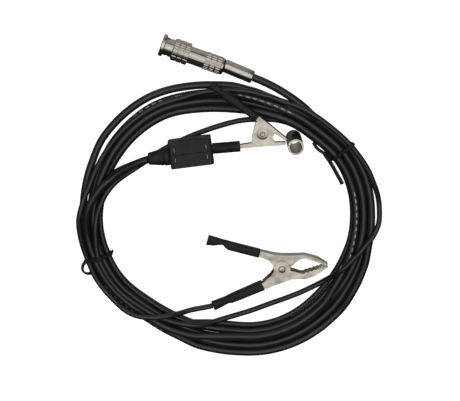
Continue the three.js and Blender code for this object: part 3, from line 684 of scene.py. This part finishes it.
def build_right_tie():
    knot = even([(67.0, 41.0, 5.2), (65.6, 41.6, 6.0), (64.2, 42.6, 6.2), (62.6, 43.6, 5.4),
                 (60.9, 44.2, 4.2)], 0.3)
    curl = even([(66.2, 39.6, 4.4), (64.9, 40.4, 4.6), (64.2, 41.8, 4.8), (63.0, 43.0, 4.6)], 0.3)
    long_end = even([(61.0, 44.4, 4.4), (61.6, 42.8, 3.6), (63.4, 40.3, 3.0), (66.0, 36.2, 2.4),
                     (68.9, 31.0, 1.9), (71.4, 26.6, 1.6), (73.2, 23.2, 1.4)], 0.5)
    short_end = even([(61.6, 43.8, 3.8), (59.2, 45.0, 3.6), (56.9, 46.6, 3.2), (55.0, 48.9, 2.7),
                      (53.9, 51.0, 2.2)], 0.5)
    parts = [band(*RIGHT_TIE), sweep(knot, 1.7, 1.3, twist=0.16), sweep(curl, 1.5, 1.1, twist=0.16),
             sweep(long_end, 2.6, 1.7), sweep(short_end, 2.2, 1.4)]
    tie = link_mesh("tie_right", *merged(parts), COIL, 50)
    give(tie, "root", PAINTS["tie_plastic"], ["twist_tie_right"])


build_left_tie()
build_right_tie()


# ---------- sleeves ----------
def rings_mesh(name, rings, matrix, sides=40, smooth=50):
    """A closed skin over rings (x, y, z, half width, half height, power), capped at both ends."""
    verts = []
    for x, y, z, a, b, power in rings:
        for j in range(sides):
            t = 2 * math.pi * j / sides
            c, s = math.cos(t), math.sin(t)
            across = a * math.copysign(abs(c) ** (2 / power), c)
            up = b * math.copysign(abs(s) ** (2 / power), s)
            verts.append((x, y + across, z + up))
    return link_mesh(name, verts, grid_faces(len(rings), sides), matrix, smooth)


def smooth_rings(keys, step=0.5):
    """Rings between given ones, eased."""
    out = []
    for k0, k1 in zip(keys, keys[1:]):
        n = max(int(abs(k1[0] - k0[0]) / step), 1)
        for i in range(n):
            t = i / n
            e = t * t * (3 - 2 * t)
            out.append((k0[0] + (k1[0] - k0[0]) * t, *(a + (b - a) * e for a, b in zip(k0[1:], k1[1:]))))
    out.append(keys[-1])
    return out


def pushed_on(name, node, body, base, place_at, keys, pocket_depth, pocket):
    """A soft sleeve: a rounded closed end, its skin, a rounded rim and the pocket for the handle."""
    (x, y), degrees = place_at
    rings = smooth_rings(keys)
    _, y0, z0, a0, b0, power0 = rings[0]
    ends = [(0.05, y0, z0, a0 - 0.35, b0 - 0.35, power0), (0.3, y0, z0, a0 - 0.03, b0 - 0.03, power0)]
    length, y1, z1, a1, b1, power1 = rings[-1]
    pocket_a, pocket_b = pocket
    rim = [(length - 0.25, y1, z1, a1, b1, power1), (length - 0.05, y1, z1, a1 - 0.14, b1 - 0.14, power1),
           (length, y1, z1, (a1 + pocket_a) / 2, (b1 + pocket_b) / 2, power1),
           (length - 0.1, y1, z1, pocket_a, pocket_b, POCKET_POWER),
           (length - pocket_depth, y1, z1, pocket_a, pocket_b, POCKET_POWER)]
    turn = Matrix.Translation((x, y, 0)) @ Matrix.Rotation(math.radians(degrees), 4, "Z")
    obj = rings_mesh(name, ends + rings[1:-1] + rim, base @ turn)
    give(obj, body, PAINTS["sleeve_vinyl"], [node])


# rings of each sleeve from its free end: x, y, z, half width, half height, and how square it is
PICKUP_GRIP = [
    (0, 0, 0, 2.75, 2.3, 3.0), (2.0, 0.1, 0, 2.6, 2.4, 3.0), (8.4, -0.2, 0, 1.65, 2.7, 2.6),
    (10.6, 0, 0, 2.85, 3.3, 3.0), (13.0, 0, 0, 2.95, 3.4, 3.4), (24.0, 0, 0, 2.5, 3.35, 3.6),
    (36.2, 0, 0, 2.35, 3.3, 4.0),
]
GROUND_UPPER_GRIP = [
    (0, 0, 0, 3.6, 1.7, 3.0), (3.0, 0.2, 0, 3.2, 1.9, 3.0), (10.8, 1.2, 0, 1.85, 2.5, 2.6),
    (12.8, 0.5, 0, 2.5, 3.2, 3.0), (15.0, 0, 0, 2.85, 3.4, 3.4), (35.5, 0, 0, 2.8, 3.4, 4.0),
]
GROUND_LOWER_GRIP = [
    (0, 0, 0, 3.35, 2.6, 2.8), (2.5, 0, 0, 3.1, 2.7, 2.8), (10.5, 0.2, 0, 2.6, 3.0, 2.6),
    (12.8, 0, 0, 3.05, 3.35, 3.0), (20.0, 0, 0, 3.2, 3.4, 3.4), (36.0, 0, 0, 3.35, 3.45, 4.0),
]
POCKET_POWER = 6.0
pushed_on("pickup_grip", "pickup_upper_sleeve", "pickup_lever", PICKUP,
          ((-40.0, 20.8), -19.7), PICKUP_GRIP, 24, (1.8, 2.75))
pushed_on("ground_upper_grip", "ground_upper_sleeve", "ground_lever", GROUND,
          ((-49.0, 18.9), -14.8), GROUND_UPPER_GRIP, 21, (2.3, 2.75))
pushed_on("ground_lower_grip", "ground_lower_sleeve", "root", GROUND,
          ((-45.3, -26.4), 23.7), GROUND_LOWER_GRIP, 23, (2.75, 2.75))


# ---------- plug ----------
def turned_skin(name, outer, bore, press=None, sides=160, matrix=PLUG, smooth=38):
    """A turned part from rows (x, radius) outside and back along the bore; press dents the outside."""
    rows = [(x, r, press) for x, r in outer] + [(x, r, None) for x, r in bore]
    verts = []
    for x, r, dent in rows:
        for j in range(sides):
            a = 2 * math.pi * j / sides
            deep = r - dent(x, a) if dent else r
            verts.append((x, deep * math.cos(a), deep * math.sin(a)))
    return link_mesh(name, verts, grid_faces(len(rows), sides, looped=True), matrix, smooth)


def banded(x0, x1, groove, radius, depth, bands=3, bevel=0.25):
    """Outside rows of a grip, rib bands parted by grooves, and the stretch of each band."""
    each = (x1 - x0 - groove * (bands - 1)) / bands
    rows, spans = [], []
    for k in range(bands):
        a = x0 + k * (each + groove)
        b = a + each
        inside = bevel + 0.05
        spans.append((a + bevel, b - bevel))
        rows += [(a, radius - 0.3), (a + bevel, radius), (a + inside, radius)]
        rows += [(a + inside + (each - 2 * inside) * t, radius) for t in (0.25, 0.5, 0.75)]
        rows += [(b - inside, radius), (b - bevel, radius), (b, radius - 0.3)]
        if k < bands - 1:
            rows += [(b + 0.05, radius - depth), (b + groove - 0.05, radius - depth)]
    return rows, spans


def ribs(spans, count, depth):
    """A dent function: straight ribs round the given stretches, with sloped sides."""
    valley, slope = 0.62, 0.3

    def dent(x, a):
        if not any(s0 <= x <= s1 for s0, s1 in spans):
            return 0.0
        t = abs((a * count / (2 * math.pi)) % 1.0 - 0.5) * 2
        return depth * min(max((valley - t) / slope, 0.0), 1.0)

    return dent


FLANGE_R, NECK_R, GRIP_R = 7.15, 5.75, 7.15
FLANGE_END, NECK_END = 2.0, 7.3
GRIP_START, GRIP_END = 7.7, 18.2
SLOT_TURN, SLOT_SWEEP, SLOT_END = 0.9, 1.35, 0.2  # radians round the plug
SLOT_START, SLOT_RISE, SLOT_HALF_WIDTH = 1.2, 4.6, 1.15  # mm along the plug
SLOT_DEPTH, FLANGE_SLOT_DEPTH = 0.75, 2.1
NUT_START, NUT_GRIP_END, NUT_END, NUT_R = 28.85, 39.6, 41.9, 5.8
TAIL_START, TAIL_R, TAIL_BEND = -19.2, 4.25, -3  # mm from the plug's far end, mm, degrees
PLUG_LENGTH = 61.0


def bayonet_slots(x, a):
    """How deep the two slanting slots are at a point of the flange and the neck."""
    deep = 0.0
    for turn in (SLOT_TURN, SLOT_TURN + math.pi):
        b = (a - turn + math.pi) % (2 * math.pi) - math.pi
        middle = SLOT_START + SLOT_RISE * max(0.0, min(-b / SLOT_SWEEP, 1.0))
        on_slant = -SLOT_SWEEP - SLOT_END < b < SLOT_END + 0.02 and abs(x - middle) < SLOT_HALF_WIDTH
        on_entry = abs(b) < SLOT_END and x < middle
        if on_slant or on_entry:
            deep = SLOT_DEPTH if x > FLANGE_END else FLANGE_SLOT_DEPTH
    return deep


def build_coupling():
    rows, spans = banded(GRIP_START, GRIP_END, 0.45, GRIP_R, 0.45)
    rib = ribs(spans, 26, 0.34)

    def dent(x, a):
        return rib(x, a) if x > 7.0 else bayonet_slots(x, a)

    outer = [(-0.5, 5.3), (-0.5, FLANGE_R - 0.3), (-0.2, FLANGE_R)]
    outer += [(0.25 * k, FLANGE_R) for k in range(8)]
    outer += [(FLANGE_END, FLANGE_R - 0.25), (FLANGE_END + 0.1, NECK_R + 0.2)]
    outer += [(FLANGE_END + 0.2 + 0.25 * k, NECK_R) for k in range(20)]
    outer += [(NECK_END, NECK_R), (NECK_END + 0.2, 6.4)] + rows + [(GRIP_END + 0.1, 6.2)]
    bore = [(GRIP_END + 0.1, 4.95), (12.8, 4.95), (12.8, 5.7), (8.05, 5.7), (8.05, 4.95), (-0.4, 4.95)]
    obj = turned_skin("plug_coupling", outer, bore, dent)
    give(obj, "plug_sleeve", PAINTS["plug_nickel"], ["bnc_coupling_sleeve"])


def build_nut():
    rows, spans = banded(NUT_START, NUT_GRIP_END, 0.5, NUT_R, 0.36)
    end = [(NUT_GRIP_END + 0.1, 5.4), (40.6, 5.35), (41.3, 5.1), (NUT_END, 4.45)]
    obj = turned_skin("plug_nut", rows + end, [(NUT_END, 3.9), (NUT_START, 3.9)], ribs(spans, 22, 0.28))
    give(obj, "root", PAINTS["plug_nickel"], ["bnc_clamp_nut"])


def build_tail():
    outer = [(TAIL_START, TAIL_R - 0.25), (TAIL_START + 0.3, TAIL_R), (-12.0, TAIL_R), (-6.0, TAIL_R - 0.03),
             (-0.7, TAIL_R - 0.05), (-0.25, TAIL_R - 0.2), (0, TAIL_R - 0.5)]
    bent = Matrix.Translation((PLUG_LENGTH, 0, 0)) @ Matrix.Rotation(math.radians(TAIL_BEND), 4, "Z")
    bore = [(0.0, 2.75), (-0.6, 2.6), (TAIL_START, 2.85)]
    obj = turned_skin("plug_tail", outer, bore, None, 96, PLUG @ bent)
    give(obj, "root", PAINTS["plug_nickel"], ["bnc_tail_sleeve"])


build_coupling()
build_nut()
build_tail()


# ---------- boot and rivets ----------
BOOT_SHIFT = (-14.0, -1.2, -0.9)  # from the housing's middle to the boot's wide end


def build_boot():
    """The strain relief: a collar, a groove and a long soft taper down to the cables."""
    keys = [(-13.6, 3.4, 4.6), (-13.3, 3.8, 4.95), (-11.0, 4.2, 5.05), (-8.5, 4.65, 5.2), (-6.0, 5.1, 5.35),
            (-4.1, 5.45, 5.5), (-3.9, 5.15, 5.25), (-3.6, 5.15, 5.25), (-3.4, 5.5, 5.55), (-3.0, 5.65, 5.7),
            (-0.5, 5.75, 5.8), (-0.15, 5.6, 5.7), (0.0, 5.3, 5.4)]
    rings = [(x, 0.0, 0.0, a, b, 2.3) for x, a, b in keys]
    obj = rings_mesh("boot", rings, HOUSING @ Matrix.Translation(BOOT_SHIFT), 56)
    give(obj, "root", PAINTS["boot_rubber"], ["strain_relief_boot"])


SHANK_R = 1.5
HEAD_HEIGHT = 0.84


def build_rivet(name, node, base, half_span, head, ear=0.0, sides=40):
    """A shank with a low head at each end: dimpled, on a pressed round ear, where there is one."""
    sink = 0.2 if ear else -0.04
    dome = [(0.02, HEAD_HEIGHT - sink), (head * 0.3, HEAD_HEIGHT + 0.01 - sink), (head * 0.55, HEAD_HEIGHT),
            (head * 0.8, 0.78), (head * 0.94, 0.6), (head, 0.36)]
    if ear:
        dome += [(head, 0.36), (ear - 0.25, 0.34), (ear, 0.2)]
    dome += [(dome[-1][0], 0.02), (SHANK_R, 0.0)]
    rows = [(r, half_span + z) for r, z in dome]
    rows += [(r, -z) for r, z in rows[::-1]]
    turns = [2 * math.pi * j / sides for j in range(sides)]
    verts = [(r * math.cos(t), r * math.sin(t), z) for r, z in rows for t in turns]
    obj = link_mesh(name, verts, grid_faces(len(rows), sides), base, 50)
    give(obj, "root", PAINTS["clip_nickel"], [node])


build_boot()
build_rivet("pickup_rivet", "pickup_pivot_rivet", PICKUP, 3.4, 1.7, 3.6)
build_rivet("ground_rivet", "ground_pivot_rivet", GROUND, 4.5, 2.3)

# ---------- stage ----------
bpy.ops.mesh.primitive_plane_add(size=30.0, location=(0, 0, -0.0004))
floor = bpy.context.object
floor.name = "floor"
pale = Paint("pale_floor", (0.80, 0.80, 0.80), 0.8)
pale.shader.inputs["Emission Color"].default_value = (1.0, 1.0, 1.0, 1.0)
pale.shader.inputs["Emission Strength"].default_value = 0.90
pale.tint(pale.noise(300.0, 2.0), (0.79, 0.79, 0.79))
floor.data.materials.append(pale.material)
floor.visible_glossy = False
floor.visible_diffuse = False

# the studio, by the bearing from straight up (0) over the far side (90) to straight down (180):
# bright overhead, a thin dark gap, a grey far side and a dark near side, so that rounded metal
# shows the bands of a real studio while black parts stay black
STUDIO = [
    (-180, 0.12), (-168, 0.02), (-60, 0.02), (-36, 0.03), (-24, 0.50), (-10, 0.92), (14, 0.86), (38, 0.60),
    (44, 0.50), (48, 0.05), (54, 0.05), (60, 0.36), (120, 0.34), (168, 0.26), (180, 0.12),
]
world = bpy.data.worlds.new("studio")
bpy.context.scene.world = world
world.use_nodes = True
nodes, links = world.node_tree.nodes, world.node_tree.links
around = nodes["Background"]
direction = nodes.new("ShaderNodeTexCoord")
parts = nodes.new("ShaderNodeSeparateXYZ")
bearing = nodes.new("ShaderNodeMath")
bearing.operation = "ARCTAN2"
share = nodes.new("ShaderNodeMapRange")
share.inputs["From Min"].default_value = -math.pi
share.inputs["From Max"].default_value = math.pi
ramp = nodes.new("ShaderNodeValToRGB")
stops = ramp.color_ramp.elements
for degrees, value in STUDIO:
    ends = {-180: stops[0], 180: stops[-1]}
    stop = ends[degrees] if degrees in ends else stops.new((degrees + 180) / 360)
    stop.color = (value, value * 0.985, value * 0.95, 1)
sideways = nodes.new("ShaderNodeMath")
sideways.operation = "ABSOLUTE"
fade = nodes.new("ShaderNodeMapRange")
fade.interpolation_type = "SMOOTHSTEP"
fade.inputs["From Min"].default_value = 0.36
fade.inputs["From Max"].default_value = 0.72
fade.inputs["To Min"].default_value = 1.0
fade.inputs["To Max"].default_value = 0.10
dimmed = nodes.new("ShaderNodeVectorMath")
dimmed.operation = "SCALE"
backdrop = nodes.new("ShaderNodeBackground")
backdrop.inputs["Color"].default_value = (0.93, 0.93, 0.93, 1)
seen = nodes.new("ShaderNodeLightPath")
either = nodes.new("ShaderNodeMixShader")
links.new(direction.outputs["Generated"], parts.inputs[0])
links.new(parts.outputs["Y"], bearing.inputs[0])
links.new(parts.outputs["Z"], bearing.inputs[1])
links.new(bearing.outputs[0], share.inputs["Value"])
links.new(share.outputs["Result"], ramp.inputs["Fac"])
links.new(parts.outputs["X"], sideways.inputs[0])
links.new(sideways.outputs[0], fade.inputs["Value"])
links.new(ramp.outputs["Color"], dimmed.inputs[0])
links.new(fade.outputs["Result"], dimmed.inputs["Scale"])
links.new(dimmed.outputs[0], around.inputs["Color"])
links.new(seen.outputs["Is Camera Ray"], either.inputs["Fac"])
links.new(around.outputs["Background"], either.inputs[1])
links.new(backdrop.outputs["Background"], either.inputs[2])
links.new(either.outputs["Shader"], nodes["World Output"].inputs["Surface"])


def softbox(name, location, size, power):
    data = bpy.data.lights.new(name, "AREA")
    data.shape = "SQUARE"
    data.size = size
    data.energy = power
    lamp = bpy.data.objects.new(name, data)
    bpy.context.scene.collection.objects.link(lamp)
    lamp.location = location
    lamp.visible_glossy = False
    aim = Vector((0.0, -0.06, 0.0)) - Vector(location)
    lamp.rotation_euler = aim.to_track_quat("-Z", "Y").to_euler()


softbox("softbox_above", (0.10, 0.10, 1.2), 0.30, 2.6)
softbox("softbox_left", (-0.8, 0.5, 0.7), 0.35, 2.2)
softbox("softbox_right", (0.7, -0.7, 0.7), 0.25, 1.2)
bpy.context.scene.view_settings.view_transform = "Standard"
